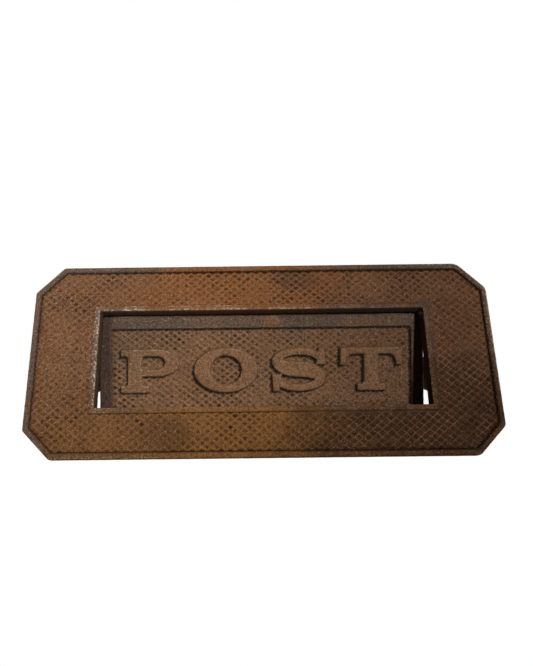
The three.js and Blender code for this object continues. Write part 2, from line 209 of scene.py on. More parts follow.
def add_object(name, data):
    item = bpy.data.objects.new(name, data)
    SCENE.collection.objects.link(item)
    return item


class Casting:
    """Collects shells, with four values at each point for the material: relief (0 in a pit, 1 on a
    ridge, lowered where shade is painted into creases and shadow beside raised parts), wear, bead
    (1 on smooth rims and borders) and back (1 behind)."""

    LABELS = ("relief_and_shade", "wear", "bead", "back")

    def __init__(self):
        self.points = []
        self.faces = []
        self.values = {label: [] for label in self.LABELS}
        self.count = 0

    def add(self, points, faces, relief_and_shade=0.6, wear=0.0, bead=0.0, back=0.0):
        points = np.asarray(points, float)
        self.points.append(points)
        for label, value in zip(self.LABELS, (relief_and_shade, wear, bead, back)):
            self.values[label].append(np.broadcast_to(value, len(points)))
        self.faces += [[int(v) + self.count for v in face] for face in faces]
        self.count += len(points)

    def build(self, name, rough=0.0, rough_cell=1.6, seed=1):
        """Makes the piece, roughened by so many millimetres in cells of one size."""
        mesh = bpy.data.meshes.new(name)
        points = np.concatenate(self.points)
        mesh.from_pydata((points * MM).tolist(), [], self.faces)
        for label, values in self.values.items():
            attribute = mesh.attributes.new(label, "FLOAT", "POINT")
            attribute.data.foreach_set("value", np.concatenate(values).astype(np.float32))
        outward(mesh)
        if rough:
            normals = np.zeros(len(points) * 3, np.float32)
            mesh.vertices.foreach_get("normal", normals)
            shift = smooth_noise(points, rough_cell, seed)
            shift += 0.5 * smooth_noise(points, rough_cell / 2, seed + 7)
            moved = points + normals.reshape(-1, 3) * ((shift - ROUGH_INWARDS) * rough)[:, None]
            mesh.vertices.foreach_set("co", (moved * MM).astype(np.float32).ravel())
        mesh.polygons.foreach_set("use_smooth", np.ones(len(mesh.polygons), bool))
        mesh.update()
        return add_object(name, mesh)


def outward(mesh):
    """Turns all the faces of a closed mesh outwards."""
    shell = bmesh.new()
    shell.from_mesh(mesh)
    bmesh.ops.recalc_face_normals(shell, faces=shell.faces)
    shell.to_mesh(mesh)
    shell.free()


def single(points, faces, wear):
    """A casting of one shell."""
    casting = Casting()
    casting.add(points, faces, wear=wear)
    return casting


def extent(node, axis):
    """Where a CAD node starts and ends along an axis, in millimetres."""
    return [corner["XYZ".index(axis)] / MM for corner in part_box(node)]


def place(piece, body, node, slot, material):
    """Puts a finished piece on its body, in the place of the CAD node."""
    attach(piece, body)
    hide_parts(node)
    piece.data.materials.append(material)


# --- outlines ---

def plate_corners(inset):
    """The eight corners of the plate's outline drawn in by inset, anticlockwise from the lower left."""
    x = PLATE_X - inset
    z = PLATE_Z - inset
    cut = CORNER_CUT - inset * (2 - math.sqrt(2))
    return [(-x + cut, -z), (x - cut, -z), (x, -z + cut), (x, z - cut),
            (x - cut, z), (-x + cut, z), (-x, z - cut), (-x, -z + cut)]


def box_corners(x, z):
    return [(-x, -z), (x, -z), (x, z), (-x, z)]


def rounded_loop(corners, radii, counts, arc_steps=5):
    """Points along a convex outline with a fillet at each corner, the same number for any size."""
    corners = [np.array(corner, float) for corner in corners]
    arcs = []
    for i, corner in enumerate(corners):
        before = corner - corners[i - 1]
        after = corners[(i + 1) % len(corners)] - corner
        before /= np.linalg.norm(before)
        after /= np.linalg.norm(after)
        turn = math.acos(float(np.clip(before @ after, -1, 1)))
        start = corner - before * radii[i] * math.tan(turn / 2)
        centre = start + np.array([-before[1], before[0]]) * radii[i]
        first = math.atan2(*(start - centre)[::-1])
        angles = first + np.linspace(0, turn, arc_steps + 1)
        arcs.append(centre + radii[i] * np.stack([np.cos(angles), np.sin(angles)], 1))
    points = []
    for i, arc in enumerate(arcs):
        points.append(arc)
        share = np.linspace(0, 1, counts[i] + 1)[1:-1, None]
        points.append(arc[-1] * (1 - share) + arcs[(i + 1) % len(arcs)][0] * share)
    return np.concatenate(points)


def side_counts(corners, spacing):
    """How many steps each side of an outline takes at about this spacing."""
    sides = zip(corners, corners[1:] + corners[:1])
    return [max(2, int(math.dist(a, b) / spacing)) for a, b in sides]


def at_depth(loop, y):
    return np.stack([loop[:, 0], np.full(len(loop), y), loop[:, 1]], 1)


def to_rest(points):
    """From the flap's closed place, measured from the hinge axis, to its rest place in the plate."""
    cos, sin = math.cos(REST_ANGLE), math.sin(REST_ANGLE)
    y = points[:, 1] * cos - points[:, 2] * sin + HINGE_Y
    z = points[:, 1] * sin + points[:, 2] * cos + HINGE_Z
    return np.stack([points[:, 0], y, z], 1)


def to_closed(points):
    """The reverse of to_rest."""
    cos, sin = math.cos(REST_ANGLE), math.sin(REST_ANGLE)
    y = points[:, 1] - HINGE_Y
    z = points[:, 2] - HINGE_Z
    return np.stack([points[:, 0], y * cos + z * sin, -y * sin + z * cos], 1)


# --- lattice and slab ---

def lattice(x, z, diamond, seed):
    """Height from 0, in the pit of a cell, to 1 on the crossing ridges, uneven from cell to cell."""
    flat = on_plane(x, z)
    x = x + 0.22 * smooth_noise(flat, 9.0, seed)
    z = z + 0.18 * smooth_noise(flat, 8.0, seed + 1)
    rising = x / diamond[0] + z / diamond[1]
    falling = x / diamond[0] - z / diamond[1]
    across = 1 / math.hypot(1 / diamond[0], 1 / diamond[1])
    heights = []
    for phase, strength in ((rising, 1.0), (falling, FALLING_HEIGHT)):
        distance = np.abs(phase - np.floor(phase) - 0.5) * across
        heights.append(strength * (1 - smooth_step(RIDGE_TOP, RIDGE_FOOT, distance)))
    cells = on_plane(np.round(rising), np.round(falling)).astype(np.int64)
    uneven = 0.86 + 0.14 * hash_values(cells, seed + 2)
    ridge = np.maximum(heights[0], heights[1]) + CROSSING_RISE * np.minimum(heights[0], heights[1])
    worn = 0.88 + 0.22 * smooth_noise(flat, 17.0, seed + 3)
    return np.clip(1 - (1 - ridge) * uneven * worn, 0, 1.1)


def spread(ends, counts):
    """Coarse grid lines between successive ends, each gap split FINE times."""
    lines = [np.linspace(a, b, n * FINE + 1)[:-1] for a, b, n in zip(ends, ends[1:], counts)]
    return np.concatenate(lines + [[ends[-1]]])


def cell_loop(i, j, rows, total, padded):
    """The walls of one coarse cell, where it has no solid neighbour, and its back face."""
    loop = []
    walls = []
    sides = (
        ((i, j), (1, 0), padded[i + 1, j]),
        ((i + 1, j), (0, 1), padded[i + 2, j + 1]),
        ((i + 1, j + 1), (-1, 0), padded[i + 1, j + 2]),
        ((i, j + 1), (0, -1), padded[i, j + 1]),
    )
    for (a, b), (da, db), neighbour in sides:
        for step in range(FINE):
            here = (a * FINE + da * step) * rows + b * FINE + db * step
            after = here + da * rows + db
            if step == 0 or not neighbour:
                loop.append(here + total)
            if not neighbour:
                walls.append([here, here + total, after + total, after])
    return walls + [loop[::-1]]


def slab_grid(xs, zs, kept):
    """Faces of a slab whose front is the fine grid and whose back is the coarse one.
    kept says which coarse cells are solid. Front points come first, then back points."""
    rows = len(zs)
    fine = np.kron(kept, np.ones((FINE, FINE), bool))
    across, down = np.nonzero(fine)
    corner = across * rows + down
    faces = np.stack([corner, corner + rows, corner + rows + 1, corner + 1], 1).tolist()
    padded = np.pad(kept, 1)
    for i, j in zip(*np.nonzero(kept)):
        faces += cell_loop(i, j, rows, len(xs) * rows, padded)
    return faces


def slab_points(x, z, front, back):
    return np.concatenate([np.stack([x, front, z], 1), np.stack([x, back, z], 1)])


def compact(count, faces):
    """Which of count points the faces use, and the faces renumbered to those alone."""
    used = np.unique(np.concatenate([np.asarray(face) for face in faces]))
    number = np.full(count, -1)
    number[used] = np.arange(len(used))
    return used, [[int(number[v]) for v in face] for face in faces]


# --- front plate ---

def outline_gap(x, z):
    """Distance in from the plate's outline."""
    straight = np.minimum(PLATE_X - np.abs(x), PLATE_Z - np.abs(z))
    corner = (PLATE_X + PLATE_Z - CORNER_CUT - np.abs(x) - np.abs(z)) / math.sqrt(2)
    return np.minimum(straight, corner)


def field_shape(x, z):
    """The field's front, its relief with painted shade in the creases along rim and bead, and softness,
    which fills the crease at the bead's lower right.
    """
    height = lattice(x, z, PLATE_DIAMOND, PLATE_SEED)
    from_rim = outline_gap(x, z) - RIM_WIDTH
    from_bead = np.maximum(np.abs(x) - OPENING_X, np.abs(z) - OPENING_Z) - BEAD_WIDTH
    crease = np.minimum(smooth_step(0.0, 1.3, from_rim), smooth_step(-0.2, 0.7, from_bead))
    worn_side = np.maximum(smooth_step(85, 95, x), smooth_step(-25, -29, z) * smooth_step(-20, 60, x))
    soft = smooth_step(2.6, 0.3, from_bead) * worn_side
    crease = np.maximum(crease, 0.9 * soft)
    height = height * (1 - soft) + 0.7 * soft
    flat = on_plane(x, z)
    swell = 0.1 * smooth_noise(flat, 30.0, 5) + 0.05 * smooth_noise(flat, 3.0, 6) - 0.35 * soft
    front = CREST_Y + LATTICE_DEPTH * (1 - height) + 0.5 * (1 - crease) + swell
    # The relief drops in the creases along the rim and the bead: this is painted shade.
    return front, np.clip(height * (0.25 + 0.75 * crease), 0, 1), soft


def add_field(casting):
    edge_x, edge_z = PLATE_X - RIM_TUCK, PLATE_Z - RIM_TUCK
    hole_x, hole_z = OPENING_X + BEAD_TUCK, OPENING_Z + BEAD_TUCK
    xs = spread([-edge_x, -hole_x, hole_x, edge_x], [12, 64, 12])
    zs = spread([-edge_z, -hole_z, hole_z, edge_z], [8, 20, 8])
    middles = [(line[:-1:FINE] + line[FINE::FINE]) / 2 for line in (xs, zs)]
    mx, mz = np.meshgrid(*middles, indexing="ij")
    kept = (outline_gap(mx, mz) > RIM_TUCK - 0.05) & ((np.abs(mx) > hole_x) | (np.abs(mz) > hole_z))
    x, z = (part.ravel() for part in np.meshgrid(xs, zs, indexing="ij"))
    front, relief_and_shade, soft = field_shape(x, z)
    points = slab_points(x, z, front, np.full_like(x, FLOOR_Y))
    relief_and_shade = np.concatenate([relief_and_shade, np.full_like(x, 0.5)])
    used, faces = compact(len(points), slab_grid(xs, zs, kept))
    casting.add(points[used], faces, relief_and_shade[used], 0.0, np.tile(soft, 2)[used])


def rim_wear(x, z):
    """The outer rim is rubbed brightest at its upper right corner."""
    corner = smooth_step(60, 15, np.hypot(x - 125, z - 32))
    return 0.35 + 2.2 * corner + 0.3 * smooth_step(20, -120, x)


def bead_wear(x, z):
    """The bead round the opening is rubbed brightest at its left end and along the top."""
    left = smooth_step(-80, -91, x)
    top = smooth_step(25, 28, z) * smooth_step(60, -40, x)
    return 0.35 + 2.4 * left * smooth_step(-24, 8, z) + 0.6 * left + 1.1 * top


def add_band(casting, profile, loops, wear_at):
    """Joins one loop for each row of a profile that ends in (relief and painted shade, wear) into a closed
    band.
    """
    size = len(loops[0])
    points = np.concatenate(loops)
    relief_and_shade, wear = (np.repeat([row[column] for row in profile], size) for column in (-2, -1))
    wear = wear * wear_at(points[:, 0], points[:, 2])
    casting.add(points, ring_faces(len(loops), size, True), relief_and_shade, wear, 1.0)


def add_rim(casting):
    """The raised rim and, behind it, the land that seats on the door. Rows are (inset, y, corner
    radius, relief and painted shade, wear), and each corner has its own share of the radius. A relief
    near 0 at the rim's inner foot paints shade into the crease."""
    profile = [
        (0.0, -0.7, 2.2, 0.3, 0.0), (0.0, -2.4, 2.2, 0.25, 0.0), (0.0, -4.0, 2.2, 0.25, 0.0),
        (0.12, -4.7, 2.2, 0.35, 0.2), (0.45, -5.3, 2.1, 0.75, 1.0), (0.95, -5.75, 1.9, 0.85, 0.7),
        (1.55, -5.95, 1.7, 0.8, 0.15), (2.2, -6.0, 1.5, 0.8, 0.1), (2.75, -5.92, 1.3, 0.7, 0.15),
        (3.15, -5.7, 1.1, 0.5, 0.2), (3.5, -5.3, 1.0, 0.2, 0.0), (3.8, -4.7, 0.9, 0.0, 0.0),
        (4.1, -4.0, 0.9, 0.0, 0.0), (5.2, -3.3, 0.8, 0.3, 0.0), (7.7, -3.0, 0.8, 0.3, 0.0),
        (LAND_WIDTH, -1.9, 0.8, 0.3, 0.0), (LAND_WIDTH, -0.5, 0.8, 0.5, 0.0),
        (7.5, 0.0, 0.9, 0.6, 0.2), (4.0, 0.0, 1.2, 0.6, 0.0), (0.6, 0.0, 2.0, 0.6, 0.2),
        (0.15, -0.2, 2.2, 0.5, 0.3),
    ]
    counts = side_counts(plate_corners(0), 1.4)
    shares = [1, 1.8, 1.6, 2.6, 3.0, 1.2, 1, 1]
    loops = []
    for inset, y, radius, _, _ in profile:
        radii = [radius * share for share in shares]
        loops.append(at_depth(rounded_loop(plate_corners(inset), radii, counts), y))
    add_band(casting, profile, loops, rim_wear)


def add_collar(casting):
    """The bead round the opening, the reveal and the collar behind: (outset, y, relief and painted
    shade, wear). A relief near 0 at the bead's outer foot paints shade into the crease.
    """
    profile = [
        (0.0, 2.1, 0.4, 0.0), (0.0, 0.5, 0.35, 0.0), (0.0, -1.5, 0.35, 0.0), (0.0, -3.6, 0.4, 0.0),
        (0.0, -5.2, 0.5, 0.2), (0.12, -5.62, 0.75, 1.0), (0.42, -5.92, 0.85, 1.0), (0.9, -6.0, 0.8, 0.35),
        (1.7, -6.0, 0.8, 0.15), (2.3, -5.97, 0.8, 0.25), (2.75, -5.8, 0.75, 0.75), (3.05, -5.45, 0.5, 0.3),
        (BEAD_WIDTH, -4.9, 0.15, 0.0), (3.4, -4.2, 0.05, 0.0), (3.6, -3.2, 0.3, 0.0), (3.0, -2.6, 0.3, 0.0),
        (3.0, -1.6, 0.3, 0.0), (3.0, 1.9, 0.5, 0.0), (2.6, REVEAL_Y, 0.6, 0.2), (1.5, REVEAL_Y, 0.6, 0.0),
        (0.4, REVEAL_Y, 0.6, 0.3),
    ]
    counts = side_counts(box_corners(OPENING_X, OPENING_Z), 1.2)
    loops = []
    for outset, y, _, _ in profile:
        corners = box_corners(OPENING_X + outset, OPENING_Z + outset)
        radii = [0.35 + 0.25 * outset] * 4
        loops.append(at_depth(rounded_loop(corners, radii, counts, 3), y))
    add_band(casting, profile, loops, bead_wear)


def full_turn(steps):
    return np.linspace(0, 2 * math.pi, steps, endpoint=False)


def turned_shell(profile, segments, axis, centre):
    """A closed ring turned about the X, Y or Z axis from (radius, distance along) points."""
    angles = full_turn(segments)
    loops = []
    for radius, along in profile:
        loop = [radius * np.cos(angles), radius * np.sin(angles)]
        loop.insert("XYZ".index(axis), np.full(segments, along))
        loops.append(np.stack(loop, 1) + np.array(centre))
    return np.concatenate(loops), ring_faces(len(profile), segments, True)


def eye_shell(outline, bore, left, right, edge):
    """A plate with a bore on the hinge axis and eased edges. The outline is (y, z) points round it."""
    outline = np.asarray(outline, float)
    angles = np.arctan2(outline[:, 1], outline[:, 0])
    hole = np.stack([np.cos(angles), np.sin(angles)], 1) * bore
    reach = np.linalg.norm(outline, axis=1, keepdims=True)
    inner = outline * (1 - edge / reach)
    half = outline * (1 - 0.3 * edge / reach)
    rows = [(hole, left), (inner, left), (half, left + 0.3 * edge), (outline, left + edge),
            (outline, (left + right) / 2), (outline, right - edge), (half, right - 0.3 * edge),
            (inner, right), (hole, right)]
    loops = [np.stack([np.full(len(loop), x), loop[:, 0], loop[:, 1]], 1) for loop, x in rows]
    return np.concatenate(loops), ring_faces(len(rows), len(outline), True)


def along_line(start, end, spacing=0.8):
    """Points from start up to but not including end."""
    steps = max(2, int(math.dist(start, end) / spacing))
    share = np.linspace(0, 1, steps, endpoint=False)[:, None]
    return np.array(start) * (1 - share) + np.array(end) * share


def round_axis(radius, first, last, steps=30):
    """Points on a circle round the hinge axis, between two angles in degrees."""
    angles = np.radians(np.linspace(first, last, steps))
    return radius * np.stack([np.cos(angles), np.sin(angles)], 1)


def add_lugs(casting):
    """The two eyes for the pin, each with a web into the back of the plate."""
    web = FLOOR_Y - 0.8 - HINGE_Y
    web_top = LUG_RADIUS + LUG_FLARE
    outline = np.concatenate([
        round_axis(LUG_RADIUS, -90, 90),
        along_line((0, LUG_RADIUS), (web, web_top))[1:],
        along_line((web, web_top), (web, -LUG_RADIUS)),
        along_line((web, -LUG_RADIUS), (0, -LUG_RADIUS)),
    ])
    for left in LUG_LEFTS:
        points, faces = eye_shell(outline, BORE_RADIUS, left, left + LUG_LENGTH, 0.6)
        casting.add(points + HINGE_POINT, faces, SIDE_RELIEF)


def add_bosses(casting):
    """The two hollow bosses that take the studs, from (radius, y) rows."""
    profile = [(4.3, 9.0), (4.3, 4.0), (4.3, -1.9), (8.2, -2.6), (8.4, -2.0), (7.3, -1.6), (6.75, -0.9),
               (6.5, 0.4), (6.45, 4.0), (6.4, 8.4), (6.1, 8.85), (5.6, 9.0)]
    for x in (-BOSS_X, BOSS_X):
        points, faces = turned_shell(profile, 56, "Y", (x, 0, 0))
        casting.add(points, faces, SIDE_RELIEF)


def make_front_plate(material):
    casting = Casting()
    for add_part in (add_field, add_rim, add_collar, add_lugs, add_bosses):
        add_part(casting)
    casting.values["back"] = [smooth_step(-2.6, -1.4, points[:, 1]) for points in casting.points]
    piece = casting.build("front_plate_casting", rough=0.05, rough_cell=1.5, seed=3)
    place(piece, "plate", "front_plate", "plate_iron", material)


# --- flap ---

def letter_edges():
    """The outline segments of the raised word, read from the CAD flap, as (x, z) ends when closed."""
    mesh = frame["nodes"]["flap"].data
    points = np.zeros(len(mesh.vertices) * 3)
    mesh.vertices.foreach_get("co", points)
    closed = to_closed(points.reshape(-1, 3) / MM)
    keys = [tuple(np.round(point, 2)) for point in closed]
    counts = {}
    for polygon in mesh.polygons:
        ring = [keys[v] for v in polygon.vertices]
        if all(abs(point[1] - CAD_LETTER_TOP) < 0.05 for point in ring):
            for a, b in zip(ring, ring[1:] + ring[:1]):
                edge = (min(a, b), max(a, b))
                counts[edge] = counts.get(edge, 0) + 1
    edges = sorted(edge for edge, uses in counts.items() if uses == 1)
    return np.array([[[a[0], a[2]], [b[0], b[2]]] for a, b in edges])


def inside_distance(x, z, edges):
    """Distance to the letters' outline, positive inside a letter."""
    best = np.full(len(x), 1e9)
    odd = np.zeros(len(x), bool)
    for (ax, az), (bx, bz) in edges:
        dx, dz = bx - ax, bz - az
        length = dx * dx + dz * dz
        if length < 1e-12:
            continue
        share = np.clip(((x - ax) * dx + (z - az) * dz) / length, 0, 1)
        best = np.minimum(best, (x - ax - share * dx) ** 2 + (z - az - share * dz) ** 2)
        crosses = (az > z) != (bz > z)
        if dz:
            odd ^= crosses & (x < ax + (z - az) * dx / dz)
    return np.where(odd, 1, -1) * np.sqrt(best)


def rounded_gap(x, z, half_x, half_z, radius):
    """Distance in from a rounded rectangle's edge, negative outside it."""
    qx = np.abs(x) - half_x + radius
    qz = np.abs(z) - half_z + radius
    outside = np.hypot(np.maximum(qx, 0), np.maximum(qz, 0))
    return radius - outside - np.minimum(np.maximum(qx, qz), 0)


def round_corners(x, z, half_x, half_z, radius):
    """Bends the corners of a rectangular grid into quarter circles."""
    a = np.clip((np.abs(x) - half_x + radius) / radius, 0, 1)
    b = np.clip((np.abs(z) - half_z + radius) / radius, 0, 1)
    moved_x = np.where(a > 0, half_x - radius + radius * a * np.sqrt(1 - b * b / 2), np.abs(x))
    moved_z = np.where(b > 0, half_z - radius + radius * b * np.sqrt(1 - a * a / 2), np.abs(z))
    return np.sign(x) * moved_x, np.sign(z) * moved_z


def cast_shadow(raised, rows, steps):
    """How much each grid point lies in the shadow, below and to the left, of something raised, so that the
    shadow can be painted into the colour.
    """
    grid = raised.reshape(-1, rows)
    shadowed = np.zeros_like(grid)
    for step in range(1, steps + 1):
        moved = np.zeros_like(grid)
        moved[:-step, :-step] = grid[step:, step:]
        shadowed = np.maximum(shadowed, moved * (1.15 - 0.15 * step))
    return shadowed.ravel()


def flap_weave(x, z, flat):
    """The flap's lattice, which gives way to a sandy texture towards the right."""
    weave = lattice(x, z, FLAP_DIAMOND, FLAP_SEED)
    sandy = smooth_step(15, 75, x + 6 * smooth_noise(flat, 20.0, 45)) * 0.75
    return weave * (1 - sandy) + sandy * (0.5 + 0.5 * smooth_noise(flat, 1.1, 46))


def flap_front(field_gap, letter_gap, outer, field, letter, weave):
    """The front of field, border and letters, with a groove in the field along the other two."""
    groove = 0.35 * near(field_gap, 0.65, 0.5) + 0.35 * near(letter_gap, -1.15, 0.45)
    floor = FLAP_FRONT + FLAP_RECESS + LATTICE_DEPTH * 1.2 * (0.6 - weave) + groove
    crown = FLAP_FRONT + 0.25 * smooth_step(3.0, 0.0, outer)
    top = LETTER_TOP + 0.12 * (1 - weave) + 0.25 * smooth_step(0.9, 0.1, letter_gap)
    front = crown * (1 - field) + floor * field
    return front * (1 - letter) + top * letter


def flap_surface(x, z, outer, rows):
    """Front, relief with painted shadow, wear and bead at each grid point. outer and the gaps are
    distances in from the edges of the flap, the field and the letters."""
    flat = on_plane(x, z)
    wobble = 0.12 * smooth_noise(flat, 6.0, 31)
    field_gap = rounded_gap(x, z, FLAP_X - FLAP_BORDER, FLAP_HALF - FLAP_BORDER, 1.5) + wobble
    letter_gap = inside_distance(x, z + FLAP_MIDDLE, letter_edges()) + 0.6 * wobble
    field = smooth_step(-0.3, 0.35, field_gap)
    letter = smooth_step(-1.0, 0.2, letter_gap)
    weave = flap_weave(x, z, flat)
    front = flap_front(field_gap, letter_gap, outer, field, letter, weave)
    front += 0.06 * smooth_noise(flat, 1.3, 43) + 0.08 * smooth_noise(flat, 5.0, 44)
    shoulder = np.clip(1 - outer / 0.8, 0, 1)
    front += 0.7 * (1 - np.sqrt(1 - shoulder * shoulder * 0.96))
    # Painted shadow: the relief is darkened below and to the left of the letters and of the border.
    raised = np.maximum(1 - field, letter)
    painted_shadow = np.clip(1.5 * cast_shadow(raised, rows, 3) * (1 - raised), 0, 1)
    relief_and_shade = field * (1 - letter) * weave * 0.95 + (1 - field) * 0.62 + letter * 0.84
    relief_and_shade = np.clip(relief_and_shade * (1 - 0.95 * painted_shadow), 0, 1)
    wear = 0.9 * near(letter_gap, 0.25, 0.3) + 0.4 * near(field_gap, -0.45, 0.3)
    return front, relief_and_shade, wear, 1 - field


def add_flap_slab(casting):
    xs = spread([-FLAP_X, FLAP_X], FLAP_CELLS[:1])
    zs = spread([-FLAP_HALF, FLAP_HALF], FLAP_CELLS[1:])
    x, z = (part.ravel() for part in np.meshgrid(xs, zs, indexing="ij"))
    x, z = round_corners(x, z, FLAP_X, FLAP_HALF, FLAP_CORNER)
    outer = rounded_gap(x, z, FLAP_X, FLAP_HALF, FLAP_CORNER)
    front, relief_and_shade, wear, bead = flap_surface(x, z, outer, len(zs))
    back = FLAP_BACK - 0.15 * np.clip(1 - outer / 2, 0, 1)
    points = slab_points(x, z + FLAP_MIDDLE, front, back)
    used, faces = compact(len(points), slab_grid(xs, zs, np.ones(FLAP_CELLS, bool)))
    values = []
    for ahead, behind in ((relief_and_shade, 0.5), (wear, 0.0), (bead, 0.6), (np.zeros_like(x), 1.0)):
        values.append(np.concatenate([ahead, np.full_like(x, behind)])[used])
    casting.add(to_rest(points[used]), faces, *values)


def add_knuckles(casting):
    """The two knuckles on the pin, each with a rib that tapers down the flap's back."""
    foot = FLAP_TOP - RIB_LENGTH
    front = FLAP_FRONT + 0.6
    sunk = FLAP_BACK - 1.4
    entry = 180 + math.degrees(math.acos(-front / KNUCKLE_RADIUS))
    entry_z = KNUCKLE_RADIUS * math.sin(math.radians(entry))
    outline = np.concatenate([
        along_line((sunk, foot), (FLAP_BACK, foot)),
        along_line((FLAP_BACK, foot), (KNUCKLE_RADIUS, 0)),
        round_axis(KNUCKLE_RADIUS, 0, entry, 40)[:-1],
        along_line((front, entry_z), (front, FLAP_TOP - 1.5)),
        along_line((front, FLAP_TOP - 1.5), (sunk, FLAP_TOP - 1.6)),
        along_line((sunk, FLAP_TOP - 1.6), (sunk, foot)),
    ])
    for left in KNUCKLE_LEFTS:
        points, faces = eye_shell(outline, BORE_RADIUS, left, left + KNUCKLE_LENGTH, 0.5)
        casting.add(to_rest(points), faces, SIDE_RELIEF, 0.0, 0.6, 1.0)


def add_lip(casting):
    """The low rib along the top edge that covers the gap under the hinge."""
    section = [(FLAP_FRONT + 0.9, FLAP_TOP - 1.2), (FLAP_FRONT + 0.9, FLAP_TOP + 0.3),
               (-1.7, FLAP_TOP + 1.0), (-1.2, FLAP_TOP + 1.2), (-0.2, FLAP_TOP + 1.25),
               (0.4, FLAP_TOP + 1.2), (FLAP_BACK, FLAP_TOP + 1.0), (FLAP_BACK, FLAP_TOP - 1.2)]
    loops = [[(x, y, z) for y, z in section] for x in np.linspace(-LIP_X, LIP_X, 180)]
    points = np.array(loops).reshape(-1, 3)
    casting.add(to_rest(points), tube_faces(len(loops), len(section)), 0.2)


def make_flap(material):
    casting = Casting()
    for add_part in (add_flap_slab, add_knuckles, add_lip):
        add_part(casting)
    piece = casting.build("flap_casting", rough=0.045, rough_cell=1.4, seed=9)
    place(piece, "flap", "flap", "flap_iron", material)


# --- hinge hardware and fixings ---

def make_hinge_pin(material):
    """A rod with a domed head, from (radius, x) rows."""
    head, end = -92.6, 99.3
    profile = [(0.01, head - 3.0), (1.2, head - 2.95), (2.3, head - 2.75), (3.3, head - 2.25),
               (3.95, head - 1.4), (4.15, head - 0.6), (4.0, head - 0.1), (3.6, head),
               (PIN_RADIUS + 0.15, head)]
    shank = [(PIN_RADIUS, x) for x in np.linspace(head + 0.3, end - 0.7, 90)]
    profile += shank + [(2.3, end - 0.3), (1.9, end - 0.05), (0.01, end)]
    points, faces = turned_shell(profile, 40, "X", HINGE_POINT)
    piece = single(points, faces, 0.2).build("hinge_rod", rough=0.05, rough_cell=1.8, seed=21)
    place(piece, "plate", "hinge_pin", "pin_steel", material)


def make_washer(node, name, inner, outer, axis, centre, material):
    start, end = extent(node, axis)
    edge = min(0.3, (end - start) / 4)
    profile = [(inner, start + edge), (inner + edge, start), (outer - edge, start), (outer, start + edge),
               (outer, end - edge), (outer - edge, end), (inner + edge, end), (inner, end - edge)]
    points, faces = turned_shell(profile, 72, axis, centre)
    piece = single(points, faces, 0.3).build(name, rough=0.03, rough_cell=1.2, seed=23)
    place(piece, "plate", node, "washer_steel", material)


def split_pin_path():
    """The wire's middle line as (y, z) round the hinge axis: foot, leg, eye, leg and shorter foot."""
    leg = 0.4
    eye_z = PIN_RADIUS + 0.35 + EYE_RADIUS + 1.1
    path = [(3.2, -5.0), (2.3, -4.7), (1.2, -4.1), (leg + 0.1, -3.2), (leg, -2.0), (leg, 0.0), (leg, 2.6)]
    for degrees in range(-60, 241, 15):
        angle = math.radians(degrees)
        path.append((EYE_RADIUS * math.cos(angle), eye_z + EYE_RADIUS * math.sin(angle)))
    path += [(-leg, 2.6), (-leg, 0.0), (-leg, -2.0), (-leg - 0.1, -3.2), (-1.0, -3.9), (-1.7, -4.3),
             (-2.4, -4.5)]
    return np.array(path)


def make_split_pin(material):
    """A half-round wire folded on itself, in the plane across the pin."""
    start, end = extent("split_pin", "X")
    x = (start + end) / 2
    path = split_pin_path()
    along = np.gradient(path, axis=0)
    along /= np.linalg.norm(along, axis=1, keepdims=True)
    out = np.stack([along[:, 1], -along[:, 0]], 1)
    angles = np.radians(np.linspace(-90, 90, 9))
    section = [(WIRE_RADIUS * math.cos(a), WIRE_RADIUS * math.sin(a)) for a in angles]
    section += [(0.0, 0.4), (0.0, -0.4)]
    loops = []
    for (y, z), (ny, nz) in zip(path, out):
        loops.append([(x + b, y + ny * (a - WIRE_FLAT), z + nz * (a - WIRE_FLAT)) for a, b in section])
    points = np.array(loops).reshape(-1, 3) + HINGE_POINT
    piece = single(points, tube_faces(len(loops), len(section)), 0.3).build("split_pin_wire")
    place(piece, "plate", "split_pin", "washer_steel", material)


def round_loop(radius, y, angles):
    """Points round the Y axis. The radius and y are each one value, or one for each angle."""
    radius, y = np.broadcast_arrays(radius, y, angles)[:2]
    return np.stack([radius * np.cos(angles), y, radius * np.sin(angles)], 1)


def thread_depth(y, angles, start, end):
    """How far the thread cuts in at each angle, fading out at both ends of the threaded length."""
    phase = y / THREAD_PITCH - angles / (2 * math.pi)
    wave = np.abs(phase - np.floor(phase) - 0.5) * 2
    rise = smooth_step(start, start + THREAD_PITCH, y)
    fade = np.minimum(rise, 1 - smooth_step(end - THREAD_PITCH, end, y))
    return THREAD_DEPTH * wave * fade


def make_stud(side, x, material):
    """A stud with a long thread for the nut, a short one in the boss and chamfered ends."""
    node = "fixing_stud_" + side
    start, end = extent(node, "Y")
    angles = full_turn(STUD_STEPS)
    loops = [round_loop(0, start, angles)]
    for y in np.linspace(start, end, int((end - start) / THREAD_PITCH * ROWS_PER_TURN)):
        cut = thread_depth(y, angles, end - NUT_THREAD, end + 5)
        cut += thread_depth(y, angles, start - 5, start + BOSS_THREAD)
        near_ends = [max(0.0, 1 - gap / STUD_CHAMFER) for gap in (end - y, y - start)]
        radius = STUD_RADIUS - np.maximum(cut, STUD_CHAMFER * sum(near_ends))
        loops.append(round_loop(radius, y, angles))
    loops.append(round_loop(0, end, angles))
    points = np.concatenate(loops) + np.array([x, 0, 0])
    casting = single(points, ring_faces(len(loops), STUD_STEPS, False), 0.25)
    piece = casting.build("threaded_stud_" + side, rough=0.015, rough_cell=1.0, seed=27)
    place(piece, "plate", node, "stud_steel", material)


